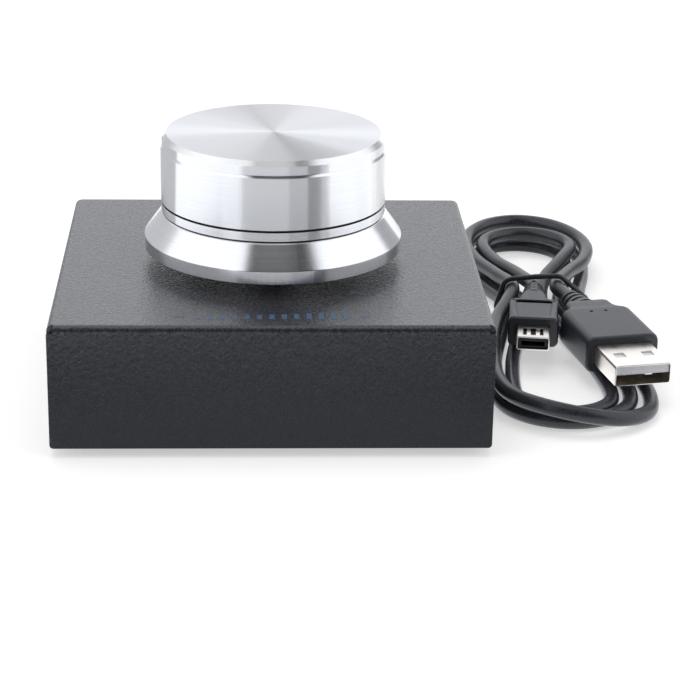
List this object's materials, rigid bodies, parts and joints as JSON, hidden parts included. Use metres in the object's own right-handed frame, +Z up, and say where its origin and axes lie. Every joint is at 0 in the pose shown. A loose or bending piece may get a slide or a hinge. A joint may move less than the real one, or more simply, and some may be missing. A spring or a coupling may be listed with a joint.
{
  "type": "volume knob",
  "caption": "Desk volume control: a turned metal knob that turns and presses, on a folded steel case with a rear cable socket, and its tied hank of cable.",
  "frame": {"origin": "bottom centre of the box without its cable, on the surface that the feet stand on", "axes": "+X to the right along the wide side, +Y to the back where the socket is, +Z up along the knob's axis"},
  "size_m": [0.1227, 0.1349, 0.053],
  "materials": {
    "powder_coat": "fine sand-grain powder coat",
    "rubber_foot": "matt",
    "screw_steel": "plated",
    "brass": "machined",
    "circuit_board": "solder mask",
    "black_plastic": "moulded",
    "white_plastic": "moulded",
    "tinned_metal": "tinned",
    "contact_metal": "plated",
    "cast_zinc": "die cast",
    "spring_metal": "rolled",
    "bare_aluminium": "turned",
    "turned_aluminium": "fine turned, bright",
    "cable_jacket": "soft matt",
    "plug_plastic": "soft matt",
    "plug_metal": "nickel plated"
  },
  "bodies": {
    "root": {"top_cover": "powder_coat", "bottom_plate": "powder_coat", "rubber_feet": "rubber_foot", "cover_screws": "screw_steel", "plate_screws": "screw_steel", "board_standoffs": "brass", "board_screws": "screw_steel", "circuit_board": "circuit_board", "controller_chip": "black_plastic", "chip_leads": "tinned_metal", "crystal_can": "tinned_metal", "capacitors": "tinned_metal", "resistors": "black_plastic", "usb_socket_shell": "tinned_metal", "usb_socket_insert": "black_plastic", "usb_socket_contacts": "contact_metal", "encoder_frame": "tinned_metal", "encoder_housing": "black_plastic", "encoder_terminals": "tinned_metal", "encoder_bushing": "cast_zinc", "bushing_washer": "screw_steel", "bushing_nut": "screw_steel", "detent_spring": "spring_metal", "contact_wipers": "contact_metal", "switch_dome": "spring_metal", "cable_hank": "cable_jacket", "hank_tie": "cable_jacket", "small_plug_relief": "plug_plastic", "small_plug_grip": "plug_plastic", "small_plug_shell": "plug_metal", "small_plug_insert": "black_plastic", "large_plug_relief": "plug_plastic", "large_plug_grip": "plug_plastic", "large_plug_shell": "plug_metal", "large_plug_insert": "white_plastic", "large_plug_contacts": "contact_metal"},
    "press": {"switch_plunger": "white_plastic"},
    "knob": {"encoder_shaft": "bare_aluminium", "knob_body": "turned_aluminium", "knob_skirt": "turned_aluminium", "set_screw": "screw_steel"},
    "rotor": {"encoder_rotor": "white_plastic"}
  },
  "joints": [
    {"name": "knob_press", "type": "slide", "parent": "root", "child": "press", "axis": [0, 0, -1], "range_m": [0, 0.0005], "stiffness_N_per_m": 4000, "springref_m": -0.0005, "deforming": ["switch_dome"]},
    {"name": "knob_turn", "type": "hinge", "parent": "press", "child": "knob", "pos_m": [0.00065, 0, 0.04], "axis": [0, 0, 1], "continuous": true},
    {"name": "rotor_turn", "type": "hinge", "parent": "root", "child": "rotor", "pos_m": [0.00065, 0, 0.0224], "axis": [0, 0, 1], "continuous": true}
  ],
  "couplings": [
    {"joint": "rotor_turn", "follows": "knob_turn", "ratio": 1}
  ]
}
